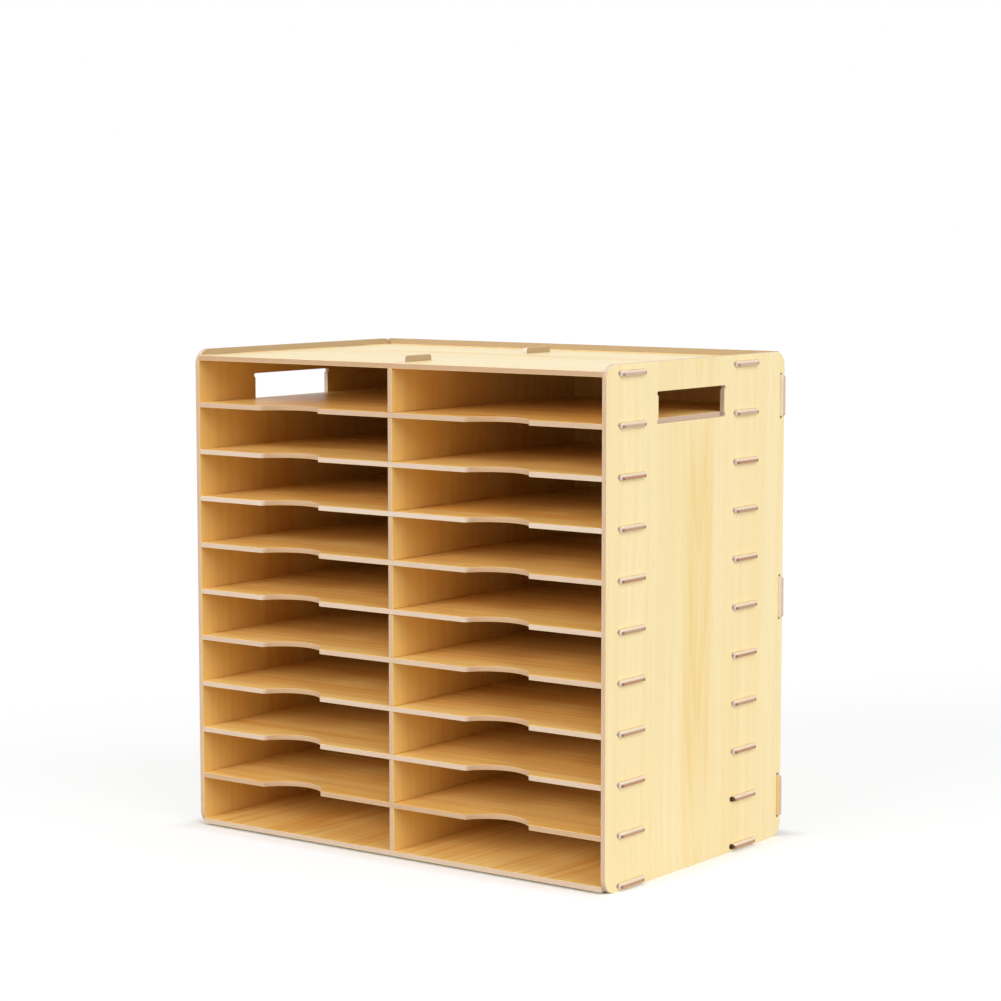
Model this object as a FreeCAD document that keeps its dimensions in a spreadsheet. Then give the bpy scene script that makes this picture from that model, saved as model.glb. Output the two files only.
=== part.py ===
# Magazine holder: an open-fronted sorter of two columns of shelves, slotted together from thin board.
#
# Every piece is cut from one board thickness and held by through tenons in relieved mortises.
# The shelves and the divider pass through each other in cross laps, like the grid of an egg crate.
# Axes: X to the right, Y from the open front to the back, Z up. Millimetres.
# The origin lies on the floor, under the middle of the whole holder.

import FreeCAD, Part
import Sketcher

import enum
import os

# Every driving dimension, with the words that stand beside it in the sheet.
SIZES = [
    ("outer_width", 500, "width over the outer faces of the two side panels"),
    ("side_depth", 312, "depth of a side panel, front edge to rear edge"),
    ("side_height", 486, "height of a side panel"),
    ("board", 5, "thickness of every board"),
    ("corner_radius", 15, "rounding of the four corners of a side panel"),
    ("top_recess", 6, "drop of the top board's upper face below the side panels' top edge"),
    ("bottom_gap", 2.5, "height of the bottom board's lower face above the floor"),
    ("rows", 10, "compartments in one column"),
    ("tab_length", 41, "length of every tenon along its edge"),
    ("tab_proud", 3.5, "how far a tenon stands out of the side panel's outer face"),
    ("tab_corner_radius", 3, "rounding of the two corners at a tenon's tip"),
    ("front_tab_inset", 21, "front edge to the front tenons"),
    ("rear_tab_inset", 52, "side panel's rear edge to the rear tenons"),
    ("back_inset", 3, "side panel's rear edge to the back panel"),
    ("back_tab_low_inset", 21, "floor to the back panel's lowest tenons"),
    ("back_tab_high_inset", 23, "side panel's top edge to the back panel's highest tenons"),
    ("handle_front_gap", 23, "front tenons to the hand hole in a side panel"),
    ("handle_rear_gap", 19, "hand hole to the rear tenons"),
    ("handle_height", 30, "height of the hand hole"),
    ("handle_drop", 28, "side panel's top edge to the hand hole"),
    ("notch_chord", 74, "width of a finger notch along the shelf's front edge"),
    ("notch_depth", 23, "depth of a finger notch"),
    ("notch_offset", 3, "finger notch's middle outside the middle of its compartment"),
    ("relief_radius", 2, "radius of the cutter, which needs room in every inner corner"),
    ("mortise_clearance", 0.15, "play between a tenon and its mortise, on each side"),
    ("lap_clearance", 0.15, "play in a cross lap, on each side and at its end"),
]

# Lines that several pieces share, as formulas of the sheet.
# Depths are measured from the front edge, heights from the floor, widths from the middle.
INNER_HALF_WIDTH = "(Sizes.outer_width / 2 - Sizes.board)"
TAB_TIP = "Sizes.outer_width / 2 + Sizes.tab_proud"
BOARD_DEPTH = "(Sizes.side_depth - Sizes.back_inset - Sizes.board)"
BOTTOM_BOARD_TOP = "Sizes.bottom_gap + Sizes.board"
TOP_BOARD_UNDERSIDE = "Sizes.side_height - Sizes.top_recess - Sizes.board"
ROW_PITCH = f"(({TOP_BOARD_UNDERSIDE} - Sizes.bottom_gap) / Sizes.rows)"
FRONT_TAB = ("Sizes.front_tab_inset", "Sizes.front_tab_inset + Sizes.tab_length")
REAR_TAB = (
    "Sizes.side_depth - Sizes.rear_tab_inset - Sizes.tab_length",
    "Sizes.side_depth - Sizes.rear_tab_inset",
)
BACK_TAB_LOW = "Sizes.back_tab_low_inset"
BACK_TAB_HIGH = "Sizes.side_height - Sizes.back_tab_high_inset - Sizes.tab_length"
BACK_TABS = [
    (start, f"{start} + Sizes.tab_length")
    for start in (BACK_TAB_LOW, f"({BACK_TAB_LOW} + {BACK_TAB_HIGH}) / 2", BACK_TAB_HIGH)
]
LAP_HALF_WIDTH = "Sizes.board / 2 + Sizes.lap_clearance"
MORTISE_HALF_WIDTH = "Sizes.board / 2 + Sizes.mortise_clearance"

# A mortise runs past its tenon at both ends, by the radius of the cutter. The many mortises have
# bevels in place of the cutter's round corners. A bevel leaves some of the mortise's end straight.
MORTISE_CORNER = "min(Sizes.relief_radius; Sizes.board / 2)"


class Spot(enum.IntEnum):
    """The points of a sketch element, as the sketcher numbers them."""
    START = 1
    END = 2
    CENTRE = 3


SKETCH_ORIGIN = (-1, Spot.START)


def fill_sheet(doc):
    """Write every driving dimension into the sheet, with its alias and its meaning."""
    sheet = doc.addObject("Spreadsheet::Sheet", "Sizes")
    for row, (alias, value, meaning) in enumerate(SIZES, start=1):
        sheet.set(f"A{row}", meaning)
        sheet.set(f"B{row}", str(value))
        sheet.setAlias(f"B{row}", alias)
    doc.recompute()
    return sheet


def negative(formula):
    return f"-({formula})"


class Outline:
    """A sketch on the middle plane of a board, with every line held by a formula of the sheet."""

    def __init__(self, body, plane, name):
        self.sketch = body.newObject("Sketcher::SketchObject", name)
        origin_plane = next(f for f in body.Origin.OriginFeatures if f.Role == plane)
        self.sketch.AttachmentSupport = [(origin_plane, "")]
        self.sketch.MapMode = "FlatFace"
        self.sheet = body.Document.Sizes

    def value(self, formula):
        return float(self.sheet.evalExpression(formula))

    def hold(self, kind, *where, formula):
        """Add a dimension whose value follows a formula."""
        index = self.sketch.addConstraint(Sketcher.Constraint(kind, *where, self.value(formula)))
        self.sketch.setExpression(f"Constraints[{index}]", formula)

    def relate(self, kind, *where):
        self.sketch.addConstraint(Sketcher.Constraint(kind, *where))

    def circle(self, across, along, radius):
        """Draw a circle from the formulas of its centre and radius."""
        centre = FreeCAD.Vector(self.value(across), self.value(along), 0)
        circle = self.sketch.addGeometry(
            Part.Circle(centre, FreeCAD.Vector(0, 0, 1), self.value(radius)))
        self.hold("DistanceX", *SKETCH_ORIGIN, circle, Spot.CENTRE, formula=across)
        self.hold("DistanceY", *SKETCH_ORIGIN, circle, Spot.CENTRE, formula=along)
        self.hold("Radius", circle, formula=radius)

    def trace(self, corners):
        """Draw a closed outline of upright and level lines, anticlockwise from corner to corner.

        A corner is (across, along), or (across, along, size, join) where the two lines stop short of
        it by the size and a join, self.round_corner or self.bevel_corner, closes them. The first
        three are formulas.
        """
        points = [FreeCAD.Vector(self.value(c[0]), self.value(c[1]), 0) for c in corners]
        cuts = [self.value(c[2]) if len(c) > 2 else 0.0 for c in corners]
        steps = [
            (points[(i + 1) % len(points)] - points[i]).normalize()
            for i in range(len(points))
        ]
        lines = []
        for i, corner in enumerate(corners):
            following = (i + 1) % len(corners)
            line = self.sketch.addGeometry(Part.LineSegment(
                points[i] + steps[i] * cuts[i],
                points[following] - steps[i] * cuts[following]))
            lines.append(line)
            if corner[0] == corners[following][0]:
                self.relate("Vertical", line)
                self.hold("DistanceX", *SKETCH_ORIGIN, line, Spot.START, formula=corner[0])
            else:
                self.relate("Horizontal", line)
                self.hold("DistanceY", *SKETCH_ORIGIN, line, Spot.START, formula=corner[1])
        for i, corner in enumerate(corners):
            if cuts[i]:
                size, join = corner[2:]
                join(lines[i - 1], lines[i], points[i], steps[i - 1], steps[i], size)
            else:
                self.relate("Coincident", lines[i - 1], Spot.END, lines[i], Spot.START)

    def bevel_corner(self, before, after, point, step_in, step_out, size):
        """Join two lines by a straight one that cuts the same size off both."""
        reach = self.value(size)
        bevel = self.sketch.addGeometry(
            Part.LineSegment(point - step_in * reach, point + step_out * reach))
        self.relate("Coincident", before, Spot.END, bevel, Spot.START)
        self.relate("Coincident", bevel, Spot.END, after, Spot.START)
        run = step_in + step_out
        both_ends = (bevel, Spot.START, bevel, Spot.END)
        self.hold("DistanceX", *both_ends, formula=size if run.x > 0 else negative(size))
        self.hold("DistanceY", *both_ends, formula=size if run.y > 0 else negative(size))

    def round_corner(self, before, after, point, step_in, step_out, radius):
        """Join two lines by an arc that leaves both of them tangent."""
        reach = self.value(radius)
        centre = point - step_in * reach + step_out * reach
        middle = centre + (step_in - step_out).normalize() * reach
        arc = self.sketch.addGeometry(
            Part.Arc(point - step_in * reach, middle, point + step_out * reach))
        self.relate("Tangent", before, Spot.END, arc, Spot.START)
        self.relate("Tangent", arc, Spot.END, after, Spot.START)
        self.hold("Radius", arc, formula=radius)

    def rectangle(self, left, right, low, high, *corner):
        """Draw a rectangle from the formulas of its four sides, with the same join at all corners."""
        self.trace([(left, low, *corner), (right, low, *corner),
                    (right, high, *corner), (left, high, *corner)])


def new_board(doc, label, across="0", deep="0", high="0"):
    """Start a board whose middle plane passes through the given place."""
    body = doc.addObject("PartDesign::Body", label)
    body.Label = label
    body.setExpression("Placement.Base.x", across)
    body.setExpression("Placement.Base.y", f"{deep} - Sizes.side_depth / 2")
    body.setExpression("Placement.Base.z", high)
    return body


def cut_from_sheet(body, outline):
    """Give an outline the thickness of the board."""
    pad = body.newObject("PartDesign::Pad", f"{outline.sketch.Name}_pad")
    pad.Profile = outline.sketch
    pad.SideType = "Symmetric"
    pad.setExpression("Length", "Sizes.board")


def cut_through(body, outline):
    """Cut an outline right through the board."""
    pocket = body.newObject("PartDesign::Pocket", f"{outline.sketch.Name}_cut")
    pocket.Profile = outline.sketch
    pocket.Type = "ThroughAll"
    pocket.SideType = "Symmetric"
    return pocket


def repeat_upwards(body, cut, outline, count):
    """Repeat a cut at the pitch of the rows."""
    pattern = body.newObject("PartDesign::LinearPattern", f"{cut.Name}_rows")
    pattern.Originals = [cut]
    pattern.Direction = (outline.sketch, ["V_Axis"])
    pattern.Mode = "Spacing"
    pattern.setExpression("Offset", ROW_PITCH)
    pattern.setExpression("Occurrences", count)
    body.Tip = pattern


def tenons_on_upright(outline, spans, shoulder, tip):
    """Corners, from low to high, of an upright edge with a tenon at each span."""
    rounding = ("Sizes.tab_corner_radius", outline.round_corner)
    corners = []
    for start, end in spans:
        corners += [(shoulder, start), (tip, start, *rounding), (tip, end, *rounding), (shoulder, end)]
    return corners


def tenons_on_level(outline, spans, shoulder, tip):
    """Corners, from left to right, of a level edge with a tenon at each span."""
    upright = tenons_on_upright(outline, spans, shoulder, tip)
    return [(corner[1], corner[0], *corner[2:]) for corner in upright]


def trace_with_side_tenons(outline, low, high, spans):
    """Trace a board that fits between the side panels and reaches through them at each span."""
    left_edge = tenons_on_upright(outline, spans, negative(INNER_HALF_WIDTH), negative(TAB_TIP))
    outline.trace([
        (negative(INNER_HALF_WIDTH), low),
        (INNER_HALF_WIDTH, low),
        *tenons_on_upright(outline, spans, INNER_HALF_WIDTH, TAB_TIP),
        (INNER_HALF_WIDTH, high),
        (negative(INNER_HALF_WIDTH), high),
        *reversed(left_edge),
    ])


def mortise_span(span):
    """Ends of a mortise: those of its tenon, with the play and the room for the cutter's corners."""
    start, end = span
    room = "Sizes.mortise_clearance + Sizes.relief_radius"
    return f"{start} - ({room})", f"{end} + {room}"


def side_panel(doc, label, middle):
    """A side panel with its mortises, its hand hole and the open notches at its rear edge."""
    body = new_board(doc, label, across=middle)
    face = Outline(body, "YZ_Plane", f"{label}_face")
    face.rectangle("0", "Sizes.side_depth", "0", "Sizes.side_height",
                   "Sizes.corner_radius", face.round_corner)
    cut_from_sheet(body, face)
    cut_row_mortises(body, label)
    cut_hand_hole(body, label)
    cut_back_notches(body, label)
    return body


def cut_row_mortises(body, label):
    """Cut the front and rear mortises of the bottom board, and repeat them for every board above."""
    low = "Sizes.bottom_gap - Sizes.mortise_clearance"
    high = f"{BOTTOM_BOARD_TOP} + Sizes.mortise_clearance"
    mortises = Outline(body, "YZ_Plane", f"{label}_mortises")
    for tab in (FRONT_TAB, REAR_TAB):
        near, far = mortise_span(tab)
        mortises.rectangle(near, far, low, high, MORTISE_CORNER, mortises.bevel_corner)
    cut = cut_through(body, mortises)
    repeat_upwards(body, cut, mortises, "Sizes.rows + 1")


def cut_hand_hole(body, label):
    """Cut the hand hole, whose corners the cutter clears with an ear in each short wall."""
    near = f"{FRONT_TAB[1]} + Sizes.handle_front_gap"
    far = f"{REAR_TAB[0]} - Sizes.handle_rear_gap"
    high = "Sizes.side_height - Sizes.handle_drop"
    low = f"{high} - Sizes.handle_height"
    hole = Outline(body, "YZ_Plane", f"{label}_hand_hole")
    hole.rectangle(near, far, low, high)
    cut_through(body, hole)
    ears = Outline(body, "YZ_Plane", f"{label}_hand_hole_ears")
    for wall in (near, far):
        for height in (f"{low} + Sizes.relief_radius", f"{high} - Sizes.relief_radius"):
            ears.circle(wall, height, "Sizes.relief_radius")
    cut_through(body, ears)


def cut_back_notches(body, label):
    """Cut the notches, open to the rear, that take the back panel's tenons."""
    seat = "Sizes.side_depth - Sizes.back_inset - Sizes.board - Sizes.mortise_clearance"
    notches = Outline(body, "YZ_Plane", f"{label}_back_notches")
    for start, end in BACK_TABS:
        low = f"{start} - Sizes.mortise_clearance"
        high = f"{end} + Sizes.mortise_clearance"
        notches.rectangle(seat, "Sizes.side_depth", low, high)
    cut_through(body, notches)
    ears = Outline(body, "YZ_Plane", f"{label}_back_notch_ears")
    for start, end in BACK_TABS:
        for height in (f"{start} - Sizes.mortise_clearance", f"{end} + Sizes.mortise_clearance"):
            ears.circle(f"{seat} + Sizes.relief_radius", height, "Sizes.relief_radius")
    cut_through(body, ears)


def level_board(doc, label, rows_down):
    """A board between the side panels, so many rows below the top board."""
    middle = f"{TOP_BOARD_UNDERSIDE} + Sizes.board / 2 - {rows_down} * {ROW_PITCH}"
    body = new_board(doc, label, high=middle)
    face = Outline(body, "XY_Plane", f"{label}_face")
    trace_with_side_tenons(face, "0", BOARD_DEPTH, [FRONT_TAB, REAR_TAB])
    cut_from_sheet(body, face)
    return body


def end_board(doc, label, rows_down):
    """The top or the bottom board, with mortises for the divider's tenons."""
    body = level_board(doc, label, rows_down)
    mortises = Outline(body, "XY_Plane", f"{label}_mortises")
    for tab in (FRONT_TAB, REAR_TAB):
        near, far = mortise_span(tab)
        mortises.rectangle(negative(MORTISE_HALF_WIDTH), MORTISE_HALF_WIDTH, near, far,
                           MORTISE_CORNER, mortises.bevel_corner)
    cut_through(body, mortises)
    return body


def shelf(doc, label, rows_down):
    """A shelf with a finger notch in each compartment and the rear half of its cross lap."""
    body = level_board(doc, label, rows_down)
    compartment_middle = f"({INNER_HALF_WIDTH} + Sizes.board / 2) / 2 + Sizes.notch_offset"
    notch_radius = "(Sizes.notch_chord ^ 2 / 4 + Sizes.notch_depth ^ 2) / (2 * Sizes.notch_depth)"
    notches = Outline(body, "XY_Plane", f"{label}_finger_notches")
    for middle in (negative(compartment_middle), compartment_middle):
        notches.circle(middle, f"Sizes.notch_depth - {notch_radius}", notch_radius)
    cut_through(body, notches)
    lap = Outline(body, "XY_Plane", f"{label}_lap")
    lap.rectangle(negative(LAP_HALF_WIDTH), LAP_HALF_WIDTH,
                  f"{BOARD_DEPTH} / 2 - Sizes.lap_clearance", BOARD_DEPTH)
    cut_through(body, lap)
    return body


def centre_divider(doc, label):
    """The upright between the columns, tenoned into both end boards and slotted from the front."""
    body = new_board(doc, label)
    face = Outline(body, "YZ_Plane", f"{label}_face")
    tabs = [FRONT_TAB, REAR_TAB]
    upper_edge = tenons_on_level(face, tabs, TOP_BOARD_UNDERSIDE, "Sizes.side_height")
    face.trace([
        ("0", BOTTOM_BOARD_TOP),
        *tenons_on_level(face, tabs, BOTTOM_BOARD_TOP, "0"),
        (BOARD_DEPTH, BOTTOM_BOARD_TOP),
        (BOARD_DEPTH, TOP_BOARD_UNDERSIDE),
        *reversed(upper_edge),
        ("0", TOP_BOARD_UNDERSIDE),
    ])
    cut_from_sheet(body, face)
    first_shelf = f"Sizes.bottom_gap + {ROW_PITCH}"
    laps = Outline(body, "YZ_Plane", f"{label}_laps")
    laps.rectangle("0", f"{BOARD_DEPTH} / 2 + Sizes.lap_clearance",
                   f"{first_shelf} - Sizes.lap_clearance",
                   f"{first_shelf} + Sizes.board + Sizes.lap_clearance")
    cut = cut_through(body, laps)
    repeat_upwards(body, cut, laps, "Sizes.rows - 1")
    return body


def back_panel(doc, label):
    """The back, set in a little from the side panels' rear edges, with three tenons on each side."""
    body = new_board(doc, label, deep="Sizes.side_depth - Sizes.back_inset - Sizes.board / 2")
    face = Outline(body, "XZ_Plane", f"{label}_face")
    trace_with_side_tenons(face, "0", "Sizes.side_height", BACK_TABS)
    cut_from_sheet(body, face)
    return body


def check_document(doc):
    """Stop if anything failed to build, if a sketch is free to move or if a cut takes nothing away."""
    for item in doc.Objects:
        if "Invalid" in item.State or "Error" in item.State:
            raise RuntimeError(f"{item.Name} failed: {item.State}")
        if item.TypeId == "Sketcher::SketchObject" and not item.FullyConstrained:
            raise RuntimeError(f"{item.Name} is not fully held by its dimensions")
        if item.TypeId in ("PartDesign::Pocket", "PartDesign::LinearPattern"):
            if item.Shape.Volume >= item.BaseFeature.Shape.Volume:
                raise RuntimeError(f"{item.Name} cuts nothing away")


def check_board(body):
    """Stop unless the board is one sound solid."""
    shape = body.Shape
    if shape.isNull() or not shape.isValid() or len(shape.Solids) != 1:
        raise RuntimeError(f"{body.Label} is not one valid solid")


def main():
    doc = FreeCAD.newDocument("MagazineHolder")
    sheet = fill_sheet(doc)
    rows = int(sheet.rows)
    middle = "Sizes.outer_width / 2 - Sizes.board / 2"
    boards = [
        side_panel(doc, "left_side_panel", negative(middle)),
        side_panel(doc, "right_side_panel", middle),
        end_board(doc, "top_board", 0),
        end_board(doc, "bottom_board", rows),
        centre_divider(doc, "centre_divider"),
        back_panel(doc, "back_panel"),
    ]
    boards += [shelf(doc, f"shelf_{number}", number) for number in range(1, rows)]

    doc.recompute()
    check_document(doc)
    for body in boards:
        check_board(body)

    os.makedirs("parts", exist_ok=True)
    for body in boards:
        body.Shape.exportStep(f"parts/{body.Label}.step")
        box = body.Shape.BoundBox
        print(f"{body.Label}: {box.XLength:.2f} x {box.YLength:.2f} x {box.ZLength:.2f} mm,",
              f"{body.Shape.Volume / 1000:.1f} cm3")


main()
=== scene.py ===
# Magazine holder: veneered board finishes, floor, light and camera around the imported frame.
#
# Lengths are metres in the frame's axes: X to the right, Y from the open front to the back, Z up.

import math
from dataclasses import dataclass
from typing import NamedTuple

import bpy
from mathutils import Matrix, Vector


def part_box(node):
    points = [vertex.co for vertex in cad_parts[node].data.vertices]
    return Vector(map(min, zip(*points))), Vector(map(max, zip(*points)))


bl_info = {
    "name": "Magazine holder finishes",
    "version": (1, 0, 0),
    "blender": (4, 5, 0),
    "location": "View3D > Sidebar > Holder",
    "description": "Dresses the boards of a slotted magazine holder and sets up its studio",
    "category": "Object",
}

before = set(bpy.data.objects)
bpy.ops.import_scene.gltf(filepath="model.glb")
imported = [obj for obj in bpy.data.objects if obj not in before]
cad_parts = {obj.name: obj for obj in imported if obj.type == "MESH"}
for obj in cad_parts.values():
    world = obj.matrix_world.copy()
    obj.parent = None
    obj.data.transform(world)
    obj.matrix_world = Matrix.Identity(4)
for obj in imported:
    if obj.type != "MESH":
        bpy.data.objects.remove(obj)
MM = 0.001
AXES = "XYZ"

SHELVES = sorted(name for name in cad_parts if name.startswith("shelf_"))
SIDE_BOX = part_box("right_side_panel")
BOARD = SIDE_BOX[1][0] - SIDE_BOX[0][0]
OUTER_FACE = SIDE_BOX[1][0]
FRONT = SIDE_BOX[0][1]
REAR = SIDE_BOX[1][1]
TOP_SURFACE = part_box("top_board")[1][2]

# The tenons of the level boards: how long they are, and where their middles stand in the depth.
TENON_LENGTH = 41 * MM
FRONT_TENON = FRONT + 21 * MM + TENON_LENGTH / 2
REAR_TENON = REAR - 52 * MM - TENON_LENGTH / 2

# The lowest notch for the back panel: the heights of its two ends, and its floor in the depth.
LOW_NOTCH_ENDS = (20.9 * MM, 62.1 * MM)
NOTCH_FLOOR = REAR - 6.2 * MM

# The heights between which the back panel's tenons turn from the lowest one's colour, mostly painted shade,
# to the others' painted highlight.
ABOVE_LOW_TENON = (64 * MM, 68 * MM)

# The round dots of painted shade in the gaps of the mortises and notches: their radii, the share of a
# radius over which a dot is even, and how far before a tenon's end the dots of the mortises lie.
MORTISE_SHADE_DOT = 3.2 * MM
NOTCH_SHADE_DOT = 2.4 * MM
EVEN_SHADE_DOT = 0.7
SHADE_DOT_LEAD = 1.1 * MM


class Layer(NamedTuple):
    """Stretched noise, with its features per metre across and along the grain.

    Over the span of the noise, the layer goes from none of its effect to all of it. The tone is what it
    then adds to the depth of the colour, and the relief is how much it raises the surface.
    """

    across: float
    along: float
    seed: float = 0.0
    detail: float = 2.0
    roughness: float = 0.5
    span: tuple = (0.3, 0.7)
    tone: float = 0.0
    relief: float = 0.0

    def depth(self, noise):
        """What the layer adds to the tone at each point."""
        return noise.rise(*self.span) * self.tone


# The layers of the veneer, from the slow wander of its grain to its pores.
WANDER = Layer(6, 2.4)
BROAD = Layer(24, 1.0, seed=3.1, tone=0.26)
BAND = Layer(130, 2.0, seed=7.4, detail=1, tone=0.32)
STREAK = Layer(420, 7, seed=5.7, detail=3, roughness=0.6, tone=0.17, relief=0.6)
PORE = Layer(1300, 45, seed=9.2, span=(0.60, 0.74), tone=0.16, relief=-0.5)

# The layers of the sawn core, and how much finer its fibres are through the board than along it.
FIBRE = Layer(1900, 1900, seed=1.3, detail=3, roughness=0.7, span=(0.35, 0.75), tone=0.22, relief=1.6)
CLOUD = Layer(45, 45, seed=2.2, span=(0.35, 0.7), tone=0.20)
SAW = Layer(900, 40, seed=4.4, detail=1, span=(0.5, 0.8), tone=0.12, relief=1.0)
FIBRE_LEAN = 26 / 19

# The veneer's tone goes from 0 for pale wood to 1 for deep wood. Besides the layers, the arches add to it,
# more of them near the heart, and so does a stain. Without the stain it comes to a mean of about this.
ARCH_TONE = 0.07
HEART_ARCH_TONE = 0.22
STAIN_TONE = 0.36
MEAN_TONE = 0.42

# The stain on the heart is even up to the first distance from a board's middle and ends at the second.
STAIN_REACH = (100 * MM, 220 * MM)

# The growth rings: how deep under the face their middle lies, how far the broad layer shifts them, the
# number of the ring at the middle, and the shares of a ring at which it starts to darken and is darkest.
HEART_DEPTH = 14 * MM
RING_SHIFT = 1.2
RING_START = 40
RING_DARKENS = (0.25, 0.92)

# The share of the figure's width over which it keeps its full strength.
FULL_FIGURE = 0.4

# How much paler and how much darker than its own shade a core gets, and the depths between which the
# shade of a board's front edge turns into that of its other edges. On most boards the darker core there is
# painted shade in the notches, holes and mortises.
CORE_STEPS = (-0.1, 0.4)
BEHIND_FRONT = (FRONT + 1 * MM, FRONT + 5 * MM)

# A tenon's end gets a painted highlight above its middle and painted shade below it, changing between these
# shares of the board's thickness, and painted shade at its lower corners, between these distances from the
# end's middle.
LIT_HALF = (-0.1, 0.3)
CORNERS = (TENON_LENGTH * 0.36, TENON_LENGTH * 0.46)
CORNER_SHADE = 0.65

# How far the skin of the back panel's tenons is painted towards white as a highlight, and how much of that
# the lowest one has; the rest of its skin is the veneer's deep colour as painted shade.
HIGHLIGHT_WHITE = 0.4
LOW_TENON_HIGHLIGHT = 0.25

# How far a normal turns towards an axis where the sawn edge gives way to the face, where it gives way to
# a tenon's end, and where the inner side's veneer gives way to the outer side's.
FACE_TURN = (0.35, 0.65)
END_TURN = (0.5, 0.9)
OUTER_TURN = (-0.2, 0.2)

# The heights between which a side panel's inner veneer turns into the painted shade above the top board,
# and how far before and past a limit the other parts of a surface blend.
RIM_SHADE_START = (TOP_SURFACE, TOP_SURFACE + 0.5 * MM)
SOFT_STEP = (-0.2 * MM, 0.3 * MM)

# How strongly the veneer's edge shows along a sawn edge, and over which share of its thickness it comes in.
VENEER_LINE = 0.6
LINE_BLEND = 0.4

# The surface's response to light: how much the streaks roughen the face, how strongly the relief bends
# the light, and the coat's refraction.
STREAK_ROUGHNESS = 0.12
RELIEF_STRENGTH = 0.5
COAT_IOR = 1.5

# The frame's meshes: corners that are joined, facets that are one face, and edges that are eased.
WELD_GAP = 0.001 * MM
FLAT_ANGLE = math.radians(0.5)
EDGE_ANGLE = math.radians(40)

# The floor: its reach from the middle, and the width over which its shadow shows from the holder on.
FLOOR_REACH = 40.0
SHADOW_EDGE = 30 * MM

# The lamps shine as from afar, so their distance only says where they are drawn.
LAMP_DISTANCE = 3.0

# The width of the camera's sensor in millimetres.
SENSOR_WIDTH = 36.0


def shade(red, green, blue):
    """A colour written as display values from 0 to 255, as the linear values that the shaders use."""
    def linear(value):
        value /= 255
        return value / 12.92 if value <= 0.04045 else ((value + 0.055) / 1.055) ** 2.4
    return linear(red), linear(green), linear(blue)


def mixed(share, first, second):
    """A fixed colour between two fixed colours."""
    return tuple(one + (two - one) * share for one, two in zip(first, second))


class Term:
    """A number or a vector that varies over a surface: a node's output, with arithmetic on it."""

    def __init__(self, recipe, socket):
        self.recipe = recipe
        self.socket = socket

    def maths(self, operation, *values):
        return self.recipe.node("ShaderNodeMath", {"operation": operation}, dict(enumerate(values)))

    def __add__(self, other):
        return self.maths("ADD", self, other)

    def __sub__(self, other):
        return self.maths("SUBTRACT", self, other)

    def __rsub__(self, other):
        return self.maths("SUBTRACT", other, self)

    def __mul__(self, other):
        return self.maths("MULTIPLY", self, other)

    def __truediv__(self, other):
        return self.maths("DIVIDE", self, other)

    def __rtruediv__(self, other):
        return self.maths("DIVIDE", other, self)

    def __pow__(self, other):
        return self.maths("POWER", self, other)

    def __rpow__(self, other):
        return self.maths("POWER", other, self)

    def __abs__(self):
        return self.maths("ABSOLUTE", self)

    __radd__ = __add__
    __rmul__ = __mul__

    def fraction(self):
        return self.maths("FRACT", self)

    def at_least(self, other):
        return self.maths("MAXIMUM", self, other)

    def rise(self, low, high):
        """Zero below the low value, one above the high value and a smooth rise between them."""
        return self.recipe.node("ShaderNodeMapRange", {"interpolation_type": "SMOOTHSTEP"},
                                {"Value": self, "From Min": low, "From Max": high})

    def past(self, limit):
        """Zero before a limit and one past it, with a short soft step between."""
        before, after = SOFT_STEP
        return self.rise(limit + before, limit + after)

    def sibling(self, name):
        """Another output of the same node."""
        return Term(self.recipe, self.socket.node.outputs[name])


class Recipe:
    """The shader nodes of one material or world."""

    def __init__(self, owner):
        owner.use_nodes = True
        self.owner = owner
        self.tree = owner.node_tree
        self.tree.nodes.clear()

    def node(self, kind, settings=None, sockets=None, output=0):
        """Add a node: first its settings, then its sockets' values or links. Returns one of its outputs."""
        made = self.tree.nodes.new(kind)
        for setting, value in (settings or {}).items():
            setattr(made, setting, value)
        for socket, value in (sockets or {}).items():
            if isinstance(value, Term):
                self.tree.links.new(value.socket, made.inputs[socket])
            else:
                made.inputs[socket].default_value = value
        return Term(self, made.outputs[output]) if made.outputs else None

    def split(self, vector):
        """The three numbers of a vector, by axis."""
        first = self.node("ShaderNodeSeparateXYZ", sockets={0: vector})
        return {axis: first.sibling(axis) for axis in AXES}

    def noise(self, layer, across, along, seed):
        """Cloudy noise of about half on average, over two stretched coordinates."""
        vector = self.node("ShaderNodeCombineXYZ", sockets={
            "X": across * layer.across, "Y": along * layer.along, "Z": seed + layer.seed})
        return self.node("ShaderNodeTexNoise", sockets={
            "Vector": vector, "Scale": 1.0, "Detail": layer.detail, "Roughness": layer.roughness})

    def blend(self, factor, first, second):
        """A colour between two colours. A Mix node repeats its sockets' names, so they go by number."""
        sockets = {0: factor}
        for number, colour in ((6, first), (7, second)):
            sockets[number] = colour if isinstance(colour, Term) else (*colour, 1.0)
        return self.node("ShaderNodeMix", {"data_type": "RGBA"}, sockets, output=2)


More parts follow.
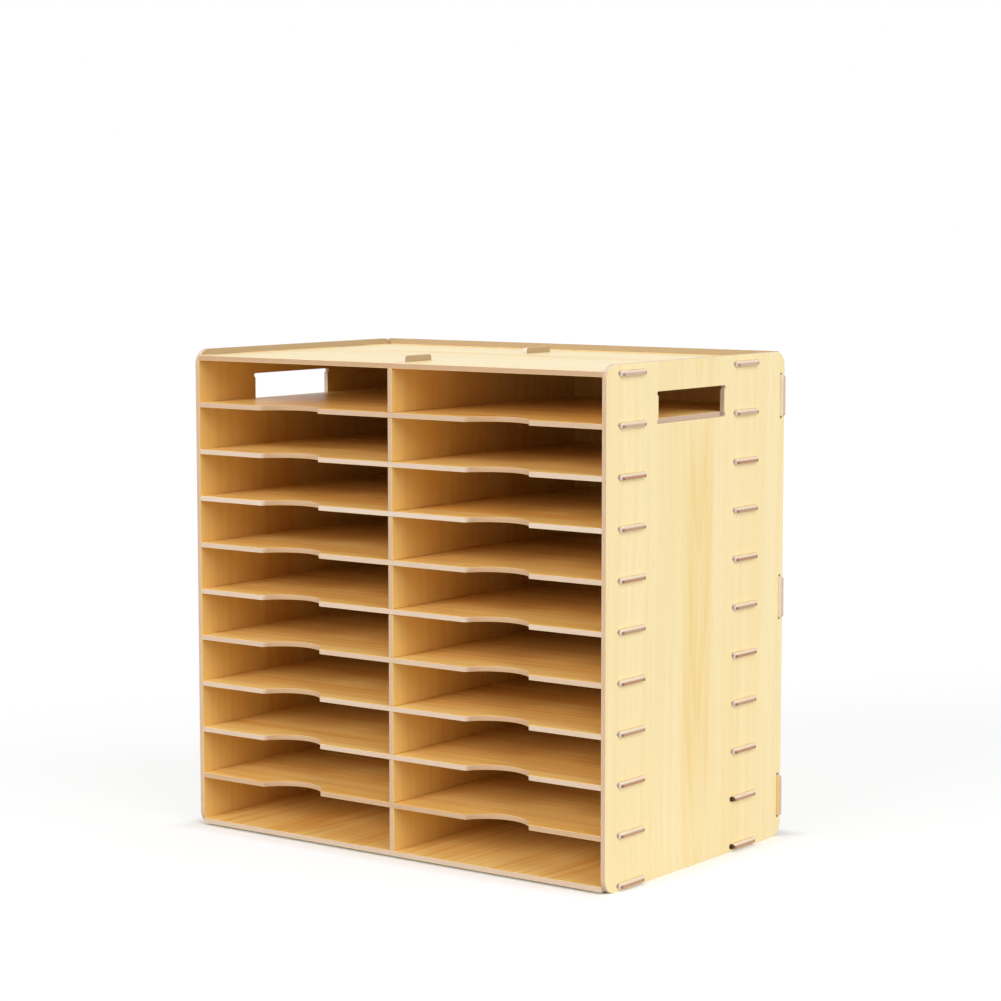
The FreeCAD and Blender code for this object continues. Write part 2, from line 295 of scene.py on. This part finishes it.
class BoardFinish(bpy.types.PropertyGroup):
    """Colours and sizes of the veneered board."""

    outer_pale: bpy.props.FloatVectorProperty(
        name="Outer veneer, pale", description="Pale wood between the streaks on the outer faces",
        subtype="COLOR", min=0, max=1, default=shade(253, 237, 190))
    outer_deep: bpy.props.FloatVectorProperty(
        name="Outer veneer, deep", description="Streaks and figure on the outer faces",
        subtype="COLOR", min=0, max=1, default=shade(243, 211, 137))
    inner_pale: bpy.props.FloatVectorProperty(
        name="Inner veneer, pale", description="Pale wood between the streaks inside the holder",
        subtype="COLOR", min=0, max=1, default=shade(252, 217, 138))
    inner_deep: bpy.props.FloatVectorProperty(
        name="Inner veneer, deep", description="Streaks and figure inside the holder",
        subtype="COLOR", min=0, max=1, default=shade(238, 186, 98))
    pore: bpy.props.FloatVectorProperty(
        name="Pores", description="Short dark pores in the veneer",
        subtype="COLOR", min=0, max=1, default=shade(190, 142, 84))
    core_pale: bpy.props.FloatVectorProperty(
        name="Core, pale", description="Sawn fibre core of the palest boards",
        subtype="COLOR", min=0, max=1, default=shade(213, 194, 175))
    core_dark: bpy.props.FloatVectorProperty(
        name="Core, dark", description="Sawn fibre core of the darkest boards",
        subtype="COLOR", min=0, max=1, default=shade(194, 160, 126))
    # This colour is painted shade: the inner veneer above the top board, and the divider's tenon there,
    # darkened as if in shadow.
    rim_painted_shade: bpy.props.FloatVectorProperty(
        name="Rim", description="Veneer of the rim round the top board, browned by hands and loads",
        subtype="COLOR", min=0, max=1, default=shade(178, 153, 118))
    tip_pale: bpy.props.FloatVectorProperty(
        name="Tenon tip, pale", description="Ends of the palest tenons",
        subtype="COLOR", min=0, max=1, default=shade(214, 188, 166))
    tip_dark: bpy.props.FloatVectorProperty(
        name="Tenon tip, dark", description="Ends of the tenons that were rubbed dark",
        subtype="COLOR", min=0, max=1, default=shade(186, 140, 108))
    # The tenon skin is a painted highlight on the proud parts of tenons and on the upper halves of their
    # ends.
    tip_skin_highlight: bpy.props.FloatVectorProperty(
        name="Tenon skin", description="Veneer on the part of a tenon that stands proud",
        subtype="COLOR", min=0, max=1, default=shade(240, 222, 198))
    # The flank colour is also carried a board's thickness into the mortises, as painted light in the
    # shadowed slits.
    tip_flank: bpy.props.FloatVectorProperty(
        name="Tenon flank", description="Sawn sides of the part of a tenon that stands proud",
        subtype="COLOR", min=0, max=1, default=shade(224, 210, 200))
    # Painted shade: the dark colour of the dots in the gaps of mortises and notches, and of the lower
    # corners of tenon ends.
    gap_shade: bpy.props.FloatVectorProperty(
        name="Scorch", description="Wood browned by the cutter where it turned",
        subtype="COLOR", min=0, max=1, default=shade(92, 68, 36))
    grain_wander: bpy.props.FloatProperty(
        name="Grain wander", description="How far the grain wanders sideways",
        default=24 * MM, min=0, max=100 * MM, unit="LENGTH")
    ring_spacing: bpy.props.FloatProperty(
        name="Ring spacing", description="Distance between growth rings on the face",
        default=11 * MM, min=1 * MM, max=50 * MM, unit="LENGTH")
    figure_taper: bpy.props.FloatProperty(
        name="Figure taper", description="How fast the rings close into arches along the grain",
        default=0.07, min=0, max=1)
    figure_width: bpy.props.FloatProperty(
        name="Figure width", description="Half the width of the arched figure about the heart",
        default=32 * MM, min=1 * MM, max=300 * MM, unit="LENGTH")
    veneer_thickness: bpy.props.FloatProperty(
        name="Veneer thickness", description="Thickness of the veneer seen at the sawn edges",
        default=0.35 * MM, min=0, max=2 * MM, unit="LENGTH")
    arris: bpy.props.FloatProperty(
        name="Arris", description="Width of the eased edges of a board",
        default=0.3 * MM, min=0.05 * MM, max=2 * MM, unit="LENGTH")
    grain_relief: bpy.props.FloatProperty(
        name="Grain relief", description="Depth of the grain in the face",
        default=0.06 * MM, min=0, max=1 * MM, unit="LENGTH")
    face_roughness: bpy.props.FloatProperty(
        name="Face roughness", description="Roughness of the coated face, lower for more gloss",
        default=0.36, min=0, max=1, subtype="FACTOR")
    core_roughness: bpy.props.FloatProperty(
        name="Core roughness", description="Roughness of the sawn core",
        default=0.75, min=0, max=1, subtype="FACTOR")


class StudioSettings(bpy.types.PropertyGroup):
    """Floor, light and camera."""

    sky_level: bpy.props.FloatProperty(
        name="Sky level", description="Strength of the even light from all round", default=0.30, min=0)
    side_level: bpy.props.FloatProperty(
        name="Side light level", description="Brightness that the side light gives a face turned to it",
        default=0.68, min=0)
    side_place: bpy.props.FloatVectorProperty(
        name="Side light direction", description="Turn from front to right, and height above the floor",
        size=2, unit="ROTATION", default=(math.radians(80), math.radians(35)))
    side_softness: bpy.props.FloatProperty(
        name="Side light softness", description="Angle it fills, wider for softer shadows",
        subtype="ANGLE", min=0, max=math.pi, default=math.radians(60))
    front_level: bpy.props.FloatProperty(
        name="Front light level", description="Brightness that the front light gives a face turned to it",
        default=0.68, min=0)
    front_place: bpy.props.FloatVectorProperty(
        name="Front light direction", description="Turn from front to right, and height above the floor",
        size=2, unit="ROTATION", default=(math.radians(-10), math.radians(23)))
    front_softness: bpy.props.FloatProperty(
        name="Front light softness", description="Angle it fills, wider for softer shadows",
        subtype="ANGLE", min=0, max=math.pi, default=math.radians(30))
    floor_bounce: bpy.props.FloatProperty(
        name="Floor bounce", description="How much light the floor gives back to the holder", default=0.6,
        min=0, max=1, subtype="FACTOR")
    floor_white: bpy.props.FloatProperty(
        name="Floor white", description="Brightness of the floor as the camera sees it",
        default=1.03, min=0, max=2)
    shadow_share: bpy.props.FloatProperty(
        name="Shadow share", description="How strongly the holder's shadow shows on the floor",
        default=0.22, min=0, max=1, subtype="FACTOR")
    camera_place: bpy.props.FloatVectorProperty(
        name="Camera place", description="Where the camera stands", default=(1.6317, -2.1847, 0.6207),
        subtype="TRANSLATION", unit="LENGTH")
    camera_turn: bpy.props.FloatVectorProperty(
        name="Camera turn", description="Which way the camera points", subtype="EULER",
        default=(math.radians(84.027), math.radians(0.030), math.radians(36.482)))
    focal_length: bpy.props.FloatProperty(
        name="Focal length", description="Focal length in millimetres on a 36 mm wide sensor",
        default=98.42, min=1, unit="CAMERA")


@dataclass
class BoardPlan:
    """How one board is dressed.

    The board's thickness lies through one axis, and the grain runs along another. The seed sets its noise
    apart from the other boards'. The heart is where the arched figure has its middle, across the grain.
    The outer side is the way that the pale veneer faces along the through axis, or 0 for a board with
    none. Core and behind say how dark the sawn core is, at the front and deeper in; on most boards the
    darker core deeper in is painted shade in the notches, holes and mortises. Tip says how dark the tenons'
    ends are. Gloss is how much the surface reflects, and figure is the contrast of its veneer.
    Tenons name the axis that the tenons point along and the surface that they stand proud of. Each shade
    dot is a dot of painted shade, given as a depth, a height and a radius.
    """

    node: str
    through: str
    along: str
    seed: float
    heart: float = 0.0
    outer_side: int = 0
    core: float = 0.5
    behind: float = 1.0
    tip: float = 0.5
    gloss: float = 0.25
    figure: float = 1.0
    tenons: tuple = ("X", OUTER_FACE)
    shade_dots: tuple = ()

    @property
    def across(self):
        """The axis across the grain on the board's face."""
        return next(axis for axis in AXES if axis not in (self.through, self.along))


def middle_of(node, axis):
    """Where the middle of a board lies on an axis."""
    low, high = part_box(node)
    index = AXES.index(axis)
    return (low[index] + high[index]) / 2


def rear_shade_dot(node):
    """Where a dot of painted shade lies at the front end of a level board's rear mortises."""
    return REAR_TENON - TENON_LENGTH / 2 - SHADE_DOT_LEAD, middle_of(node, "Z"), MORTISE_SHADE_DOT


def arched_figure(plan, finish, drift, along, broad):
    """How deep the growth rings' arches are at each point, and how near the heart it is."""
    off_heart = drift - plan.heart
    reach = (off_heart ** 2 + HEART_DEPTH ** 2) ** 0.5
    rings = (reach - along * finish.figure_taper) / finish.ring_spacing + broad * RING_SHIFT + RING_START
    ring = rings.fraction()
    arches = ring.rise(*RING_DARKENS) * (1 - ring.rise(RING_DARKENS[1], 1.0))
    near_heart = 1 - abs(off_heart).rise(finish.figure_width * FULL_FIGURE, finish.figure_width)
    return arches, near_heart


def veneer(recipe, plan, finish, spot, facing):
    """Colour of the veneer, with how coarse its streaks and how deep its pores are at each point."""
    along = spot[plan.along]
    wander = recipe.noise(WANDER, spot[plan.across], along, plan.seed)
    drift = spot[plan.across] + (wander - 0.5) * finish.grain_wander
    broad = recipe.noise(BROAD, drift, along, plan.seed)
    band = recipe.noise(BAND, drift, along, plan.seed)
    streak = recipe.noise(STREAK, drift, along, plan.seed)
    pore = recipe.noise(PORE, drift, along, plan.seed).rise(*PORE.span)

    arches, near_heart = arched_figure(plan, finish, drift, along, broad)
    off_middle = abs(along - middle_of(plan.node, plan.along))
    stain = (1 - off_middle.rise(*STAIN_REACH)) * near_heart

    tone = (BROAD.depth(broad) + BAND.depth(band) + STREAK.depth(streak)
            + arches * (near_heart * HEART_ARCH_TONE + ARCH_TONE))
    tone = (tone - MEAN_TONE) * plan.figure + MEAN_TONE + stain * STAIN_TONE
    colour = recipe.blend(tone, finish.inner_pale, finish.inner_deep)
    if plan.outer_side:
        outer = recipe.blend(tone, finish.outer_pale, finish.outer_deep)
        outside = (facing[plan.through] * plan.outer_side).rise(*OUTER_TURN)
        # Painted shade: above the top board the inner faces turn to a darker colour.
        in_rim_shade = spot["Z"].rise(*RIM_SHADE_START)
        colour = recipe.blend(in_rim_shade, colour, finish.rim_painted_shade)
        colour = recipe.blend(outside, colour, outer)
    return recipe.blend(pore * PORE.tone, colour, finish.pore), streak, pore


def sawn_core(recipe, plan, finish, spot, depth):
    """Colour of the sawn fibre core, with its fibres and saw marks."""
    along = spot[plan.along]
    across = spot[plan.across]
    fibre = recipe.noise(FIBRE, along, across + depth * FIBRE_LEAN, plan.seed)
    cloud = recipe.noise(CLOUD, along, across, plan.seed)
    saw = recipe.noise(SAW, along + across, depth, plan.seed)
    shift = FIBRE.depth(fibre) + CLOUD.depth(cloud) + SAW.depth(saw)
    # Behind the front edge the core turns to its deeper value: painted shade in the notches, holes and
    # mortises of most boards, and paler on the side panels.
    behind_front = spot["Y"].rise(*BEHIND_FRONT)
    pale, deep = (recipe.blend(behind_front,
                               mixed(plan.core + step, finish.core_pale, finish.core_dark),
                               mixed(plan.behind + step, finish.core_pale, finish.core_dark))
                  for step in CORE_STEPS)
    return recipe.blend(shift, pale, deep), fibre, saw


def tenon_end(recipe, plan, finish, spot, depth):
    """Colour of a tenon's end: a painted highlight on its upper half, painted shade on the lower, and
    painted shade at the lower corners of a level board's.
    """
    # Painted highlight on the upper half of the end, painted shade on the lower half.
    rubbed = (depth / BOARD).rise(*LIT_HALF)
    colour = recipe.blend(rubbed, mixed(plan.tip, finish.tip_pale, finish.tip_dark), finish.tip_skin_highlight)
    if plan.through != "Z":
        return colour
    # Painted shade at the lower front and rear corners of a level board's tenon ends.
    between = (FRONT_TENON + REAR_TENON) / 2
    off_middle = abs(abs(spot["Y"] - between) - (REAR_TENON - between))
    corner_shade = off_middle.rise(*CORNERS) * (1 - rubbed)
    return recipe.blend(corner_shade * CORNER_SHADE, colour, finish.gap_shade)


def tenon_skin(recipe, plan, finish, spot):
    """Colour of the veneer on the part of a board's tenons that stands proud: painted shade on the
    divider's above the top board, a painted highlight on the level boards', and a painted highlight on the
    back panel's with mostly painted shade on its lowest.
    """
    if plan.through == "X":
        # The divider's tenon above the top board takes the same painted shade.
        return finish.rim_painted_shade
    if plan.through == "Z":
        return finish.tip_skin_highlight
    # Painted highlight on the back panel's upper tenons; the lowest keeps mostly the deep veneer as painted
    # shade.
    rubbed = spot["Z"].rise(*ABOVE_LOW_TENON) * (1 - LOW_TENON_HIGHLIGHT) + LOW_TENON_HIGHLIGHT
    return recipe.blend(rubbed, finish.outer_deep, mixed(HIGHLIGHT_WHITE, finish.tip_skin_highlight, (1, 1, 1)))


def in_shade_dots(recipe, plan, spot):
    """One at the dots of painted shade in a board's mortise and notch gaps, and zero elsewhere."""
    marks = 0.0
    for depth, height, radius in plan.shade_dots:
        reach = ((spot["Y"] - depth) ** 2 + (spot["Z"] - height) ** 2) ** 0.5
        marks = 1 - reach.rise(radius * EVEN_SHADE_DOT, radius) + marks
    return marks


def board_material(plan, finish):
    """Veneer on the two faces of a board and sawn core on its edges, told apart by the normal."""
    recipe = Recipe(bpy.data.materials.new(f"veneered_{plan.node}"))
    place = recipe.node("ShaderNodeTexCoord", output="Object")
    spot = recipe.split(place)
    facing = recipe.split(place.sibling("Normal"))
    depth = spot[plan.through] - middle_of(plan.node, plan.through)
    skin, streak, pore = veneer(recipe, plan, finish, spot, facing)
    core, fibre, saw = sawn_core(recipe, plan, finish, spot, depth)

    if plan.tenons:
        axis, surface = plan.tenons
        reach = abs(spot[axis])
        proud = reach.past(surface)
        # The pale flank colour reaches a board's thickness into the mortise: painted light in the shadowed
        # slit.
        core = recipe.blend(reach.past(surface - BOARD), core, finish.tip_flank)
        at_end = abs(facing[axis]).rise(*END_TURN) * proud
        core = recipe.blend(at_end, core, tenon_end(recipe, plan, finish, spot, depth))
        # The proud part's veneer takes the tenon skin: painted highlight, with painted shade on the
        # divider's and on the back panel's lowest.
        skin = recipe.blend(proud, skin, tenon_skin(recipe, plan, finish, spot))
    under_face = BOARD / 2 - finish.veneer_thickness
    glue_line = abs(depth).rise(under_face, under_face + finish.veneer_thickness * LINE_BLEND)
    core = recipe.blend(glue_line * VENEER_LINE, core, skin)

    on_face = abs(facing[plan.through]).rise(*FACE_TURN)
    colour = recipe.blend(on_face, core, skin)
    # Painted shade: dark dots at the gaps of some mortises and notches.
    if plan.shade_dots:
        colour = recipe.blend(in_shade_dots(recipe, plan, spot), colour, finish.gap_shade)
    face_roughness = (streak - 0.5) * STREAK_ROUGHNESS + finish.face_roughness
    roughness = on_face * (face_roughness - finish.core_roughness) + finish.core_roughness
    relief = (on_face * (streak * STREAK.relief + pore * PORE.relief)
              + (1 - on_face) * (fibre * FIBRE.relief + saw * SAW.relief))
    bump = recipe.node("ShaderNodeBump", sockets={
        "Strength": RELIEF_STRENGTH, "Distance": finish.grain_relief, "Height": relief})
    surface = recipe.node("ShaderNodeBsdfPrincipled", sockets={
        "Base Color": colour, "Roughness": roughness, "Normal": bump,
        "IOR": COAT_IOR, "Specular IOR Level": plan.gloss})
    recipe.node("ShaderNodeOutputMaterial", sockets={"Surface": surface})
    return recipe.owner


def dress(plan):
    """Give a board its own veneer and ease its sharp edges."""
    finish = bpy.context.scene.board_finish
    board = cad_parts[plan.node]
    material = board_material(plan, finish)
    for slot in board.material_slots:
        slot.material = material
    weld = board.modifiers.new("joined_corners", "WELD")
    weld.merge_threshold = WELD_GAP
    flat = board.modifiers.new("whole_faces", "DECIMATE")
    flat.decimate_type = "DISSOLVE"
    flat.angle_limit = FLAT_ANGLE
    ease = board.modifiers.new("eased_edges", "BEVEL")
    ease.width = finish.arris
    ease.segments = 2
    ease.limit_method = "ANGLE"
    ease.angle_limit = EDGE_ANGLE
    ease.use_clamp_overlap = True


class HOLDER_OT_side_panels(bpy.types.Operator):
    """Dress the two side panels, with upright grain and the pale veneer outside"""

    bl_idname = "holder.side_panels"
    bl_label = "Side panels"

    def execute(self, context):
        # Dots of painted shade at the lowest rear mortises and at the ends of the lowest back notch.
        shade_dots = (rear_shade_dot("bottom_board"), rear_shade_dot(SHELVES[-1]),
                    *((NOTCH_FLOOR, end, NOTCH_SHADE_DOT) for end in LOW_NOTCH_ENDS))
        upright = {"through": "X", "along": "Z", "core": 0.75, "behind": 0.0, "gloss": 0.5, "figure": 0.65,
                   "tenons": None, "shade_dots": shade_dots}
        dress(BoardPlan("right_side_panel", seed=11.0, outer_side=1, **upright))
        dress(BoardPlan("left_side_panel", seed=23.0, heart=-35 * MM, outer_side=-1, **upright))
        return {"FINISHED"}


class HOLDER_OT_end_boards(bpy.types.Operator):
    """Dress the top and bottom boards, with the pale veneer outside"""

    bl_idname = "holder.end_boards"
    bl_label = "Top and bottom boards"

    def execute(self, context):
        dress(BoardPlan("top_board", "Z", "X", seed=37.0, heart=30 * MM, outer_side=1, core=1.1, tip=0.3,
                        gloss=0.5))
        # The bottom board carries a dot of painted shade at its rear tenon.
        dress(BoardPlan("bottom_board", "Z", "Y", seed=41.0, heart=-130 * MM, outer_side=-1, core=0.4,
                        tip=0.8, figure=2.2, shade_dots=(rear_shade_dot("bottom_board"),)))
        return {"FINISHED"}


class HOLDER_OT_shelves(bpy.types.Operator):
    """Dress every shelf, with level grain and with a figure and a core of its own"""

    bl_idname = "holder.shelves"
    bl_label = "Shelves"

    def execute(self, context):
        # How dark the sawn front edges are, from the top shelf down.
        cores = (0.7, 0.2, 0.0, 0.35, 0.25, 0.5, 0.3, 0.35, 1.0)
        heart_step = 28 * MM
        for number, (shelf, core) in enumerate(zip(SHELVES, cores, strict=True)):
            # Every fifth step in turn, so that no two shelves have their hearts in one place.
            heart = ((number * 5) % len(SHELVES) - len(SHELVES) // 2) * heart_step
            # The top shelf's tenons have paler ends, and those of the others are dark and darker by turns.
            tip = 0.8 + 0.2 * (number % 2) if number else 0.4
            # The lowest shelf carries a dot of painted shade at its rear tenon.
            shade_dots = (rear_shade_dot(shelf),) if shelf == SHELVES[-1] else ()
            dress(BoardPlan(shelf, "Z", "X", seed=50.0 + 6.5 * number, heart=heart, core=core, tip=tip,
                            figure=2.1, shade_dots=shade_dots))
        return {"FINISHED"}


class HOLDER_OT_uprights(bpy.types.Operator):
    """Dress the centre divider and the back panel, with upright grain"""

    bl_idname = "holder.uprights"
    bl_label = "Divider and back"

    def execute(self, context):
        dress(BoardPlan("centre_divider", "X", "Z", seed=71.0, heart=50 * MM, core=0.8, tip=0.0,
                        figure=0.75, tenons=("Z", TOP_SURFACE)))
        dress(BoardPlan("back_panel", "Y", "Z", seed=83.0, heart=110 * MM, outer_side=1, core=0.4, tip=0.2,
                        figure=0.75))
        return {"FINISHED"}


def seen_directly(recipe):
    """One for the camera's own rays and for mirror-like rays, and zero for the rest of the light."""
    ray = recipe.node("ShaderNodeLightPath", output="Is Camera Ray")
    return (ray + ray.sibling("Is Glossy Ray") + ray.sibling("Is Transmission Ray")).rise(0, 1)


class HOLDER_OT_studio(bpy.types.Operator):
    """Lay the floor, light the holder and place the camera"""

    bl_idname = "holder.studio"
    bl_label = "Studio"

    def execute(self, context):
        studio = context.scene.studio_settings
        self.lay_floor(studio)
        self.light_sky(context.scene, studio)
        self.hang_lamp("side_lamp", studio.side_level, studio.side_place, studio.side_softness)
        self.hang_lamp("front_lamp", studio.front_level, studio.front_place, studio.front_softness)
        self.place_camera(context.scene, studio)
        context.scene.view_settings.view_transform = "Standard"
        return {"FINISHED"}

    def lay_floor(self, studio):
        corners = [(x * FLOOR_REACH, y * FLOOR_REACH, 0) for x, y in ((-1, -1), (1, -1), (1, 1), (-1, 1))]
        mesh = bpy.data.meshes.new("floor")
        mesh.from_pydata(corners, [], [(0, 1, 2, 3)])
        mesh.materials.append(self.floor_material(studio))
        floor = bpy.data.objects.new("floor", mesh)
        bpy.context.collection.objects.link(floor)

    def floor_material(self, studio):
        """White with a faint shadow where it is seen, and less white where it lights the holder."""
        recipe = Recipe(bpy.data.materials.new("pale_floor"))
        shown = seen_directly(recipe)
        dim, bright = (recipe.node("ShaderNodeBsdfDiffuse", sockets={"Color": (level, level, level, 1)})
                       for level in (studio.floor_bounce, 1.0))
        lit = recipe.node("ShaderNodeMixShader", sockets={0: shown, 1: dim, 2: bright})
        even = recipe.node("ShaderNodeEmission", sockets={
            "Color": (1, 1, 1, 1), "Strength": studio.floor_white})
        spot = recipe.split(recipe.node("ShaderNodeTexCoord", output="Object"))
        past_side = abs(spot["X"]) - OUTER_FACE
        past_front = abs(spot["Y"]) + FRONT
        outside = past_side.at_least(past_front).rise(0, SHADOW_EDGE)
        share = shown * outside * (1 - studio.shadow_share)
        surface = recipe.node("ShaderNodeMixShader", sockets={0: share, 1: lit, 2: even})
        recipe.node("ShaderNodeOutputMaterial", sockets={"Surface": surface})
        return recipe.owner

    def light_sky(self, scene, studio):
        """Even light from all round, white where it is seen and dimmer where it lights the holder."""
        scene.world = bpy.data.worlds.new("even_sky")
        recipe = Recipe(scene.world)
        level = seen_directly(recipe) * (1 - studio.sky_level) + studio.sky_level
        sky = recipe.node("ShaderNodeBackground", sockets={"Color": (1, 1, 1, 1), "Strength": level})
        recipe.node("ShaderNodeOutputWorld", sockets={"Surface": sky})

    def hang_lamp(self, name, level, place, softness):
        """A wide, distant lamp at a turn and a height, turned to the holder."""
        turn, height = place
        lamp = bpy.data.lights.new(name, "SUN")
        lamp.angle = softness
        lamp.energy = level * math.pi
        hung = bpy.data.objects.new(name, lamp)
        towards = Vector((math.cos(height) * math.sin(turn), -math.cos(height) * math.cos(turn),
                          math.sin(height)))
        hung.rotation_euler = towards.to_track_quat("Z", "Y").to_euler()
        hung.location = towards * LAMP_DISTANCE
        bpy.context.collection.objects.link(hung)

    def place_camera(self, scene, studio):
        lens = bpy.data.cameras.new("camera")
        lens.sensor_width = SENSOR_WIDTH
        lens.lens = studio.focal_length
        camera = bpy.data.objects.new("camera", lens)
        camera.location = studio.camera_place
        camera.rotation_euler = studio.camera_turn
        bpy.context.collection.objects.link(camera)
        scene.camera = camera


OPERATORS = (
    HOLDER_OT_side_panels,
    HOLDER_OT_end_boards,
    HOLDER_OT_shelves,
    HOLDER_OT_uprights,
    HOLDER_OT_studio,
)


class HOLDER_PT_sidebar(bpy.types.Panel):
    """Lists the holder's settings and its operators."""

    bl_idname = "HOLDER_PT_sidebar"
    bl_label = "Magazine holder"
    bl_space_type = "VIEW_3D"
    bl_region_type = "UI"
    bl_category = "Holder"

    def draw(self, context):
        for group in (context.scene.board_finish, context.scene.studio_settings):
            box = self.layout.box()
            for name in type(group).__annotations__:
                box.prop(group, name)
        for operator in OPERATORS:
            self.layout.operator(operator.bl_idname)


CLASSES = (BoardFinish, StudioSettings, *OPERATORS, HOLDER_PT_sidebar)


def register():
    for item in CLASSES:
        bpy.utils.register_class(item)
    bpy.types.Scene.board_finish = bpy.props.PointerProperty(type=BoardFinish)
    bpy.types.Scene.studio_settings = bpy.props.PointerProperty(type=StudioSettings)


def unregister():
    del bpy.types.Scene.studio_settings
    del bpy.types.Scene.board_finish
    for item in reversed(CLASSES):
        bpy.utils.unregister_class(item)


def main():
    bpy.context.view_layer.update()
    register()
    bpy.ops.holder.side_panels()
    bpy.ops.holder.end_boards()
    bpy.ops.holder.shelves()
    bpy.ops.holder.uprights()
    bpy.ops.holder.studio()


if __name__ == "__main__":
    main()
